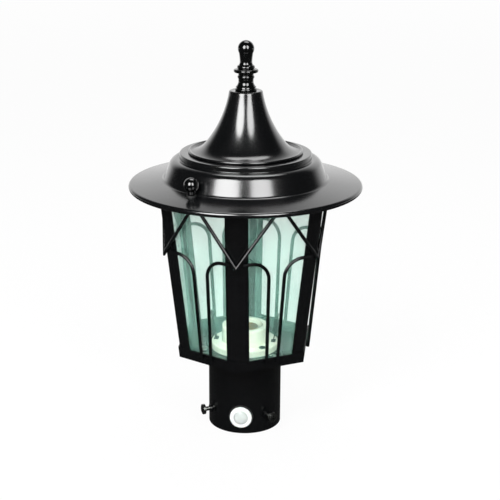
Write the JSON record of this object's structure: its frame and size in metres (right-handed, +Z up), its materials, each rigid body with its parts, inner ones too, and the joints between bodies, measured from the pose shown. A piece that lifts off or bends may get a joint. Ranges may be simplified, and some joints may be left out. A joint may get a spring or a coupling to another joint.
{
  "type": "post-top garden light",
  "caption": "Six-sided glazed lantern with wire ornament under a spun domed roof with a spire and finial, on a tubular fitter clamped over a post.",
  "frame": {"origin": "centre of the open lower end of the fitter tube, which is the lowest plane of the part", "axes": "+Z up along the axis of the tube and roof, -Y towards the front corner of the six-sided body and the dusk sensor"},
  "size_m": [0.248, 0.248, 0.425],
  "materials": {
    "black_paint": "smooth gloss black powder coat",
    "spun_black": "high gloss black enamel on spun sheet",
    "plated": "bright zinc plate",
    "clear_glass": "clear float glass with a green edge tint",
    "dome": "clear moulded lens",
    "white_plastic": "smooth white moulding",
    "cell": "green potted cell",
    "rubber": "matt black",
    "porcelain": "glazed cream porcelain",
    "brass": "pressed brass, satin"
  },
  "bodies": {
    "lantern": {"fitter_tube": "black_paint", "sensor_gasket": "rubber", "sensor_ring": "white_plastic", "sensor_dome": "dome", "sensor_cell": "cell", "bottom_pan": "black_paint", "flange_screws": "plated", "flange_nuts": "plated", "corner_post_1": "black_paint", "corner_post_2": "black_paint", "corner_post_3": "black_paint", "corner_post_4": "black_paint", "corner_post_5": "black_paint", "corner_post_6": "black_paint", "top_ring": "black_paint", "glass_pane_1": "clear_glass", "glass_pane_2": "clear_glass", "glass_pane_3": "clear_glass", "glass_pane_4": "clear_glass", "glass_pane_5": "clear_glass", "glass_pane_6": "clear_glass", "glass_clips": "black_paint", "wire_hook_1": "black_paint", "wire_hook_2": "black_paint", "wire_hook_3": "black_paint", "wire_hook_4": "black_paint", "wire_hook_5": "black_paint", "wire_hook_6": "black_paint", "wire_hook_7": "black_paint", "wire_hook_8": "black_paint", "wire_hook_9": "black_paint", "wire_hook_10": "black_paint", "wire_hook_11": "black_paint", "wire_hook_12": "black_paint", "wire_vee_1": "black_paint", "wire_vee_2": "black_paint", "wire_vee_3": "black_paint", "wire_vee_4": "black_paint", "wire_vee_5": "black_paint", "wire_vee_6": "black_paint", "roof_brim": "spun_black", "roof_spire": "spun_black", "finial": "spun_black", "finial_stud": "plated", "finial_washer": "plated", "finial_nut": "plated", "roof_studs": "plated", "knob_seals": "rubber", "holder_body": "porcelain", "holder_shell": "brass", "holder_contact": "brass", "holder_screws": "plated", "holder_strips": "plated"},
    "clamp_screw_1": {"clamp_screw_1": "plated"},
    "clamp_screw_2": {"clamp_screw_2": "plated"},
    "clamp_screw_3": {"clamp_screw_3": "plated"},
    "roof_knob_1": {"roof_knob_1": "spun_black"},
    "roof_knob_2": {"roof_knob_2": "spun_black"}
  },
  "joints": [
    {"name": "clamp_screw_1_in", "type": "slide", "parent": "lantern", "child": "clamp_screw_1", "axis": [0.891, 0.454, 0], "range_m": [0, 0.0058]},
    {"name": "clamp_screw_2_in", "type": "slide", "parent": "lantern", "child": "clamp_screw_2", "axis": [-0.6947, 0.7193, 0], "range_m": [0, 0.0058]},
    {"name": "clamp_screw_3_in", "type": "slide", "parent": "lantern", "child": "clamp_screw_3", "axis": [-0.1736, -0.9848, 0], "range_m": [0, 0.0058]},
    {"name": "roof_knob_1_turn", "type": "hinge", "parent": "lantern", "child": "roof_knob_1", "pos_m": [-0.0465, -0.08054, 0.29], "axis": [0, 0, 1], "range_deg": [0, 1800]},
    {"name": "roof_knob_2_turn", "type": "hinge", "parent": "lantern", "child": "roof_knob_2", "pos_m": [0.0465, 0.08054, 0.29], "axis": [0, 0, 1], "range_deg": [0, 1800]}
  ]
}
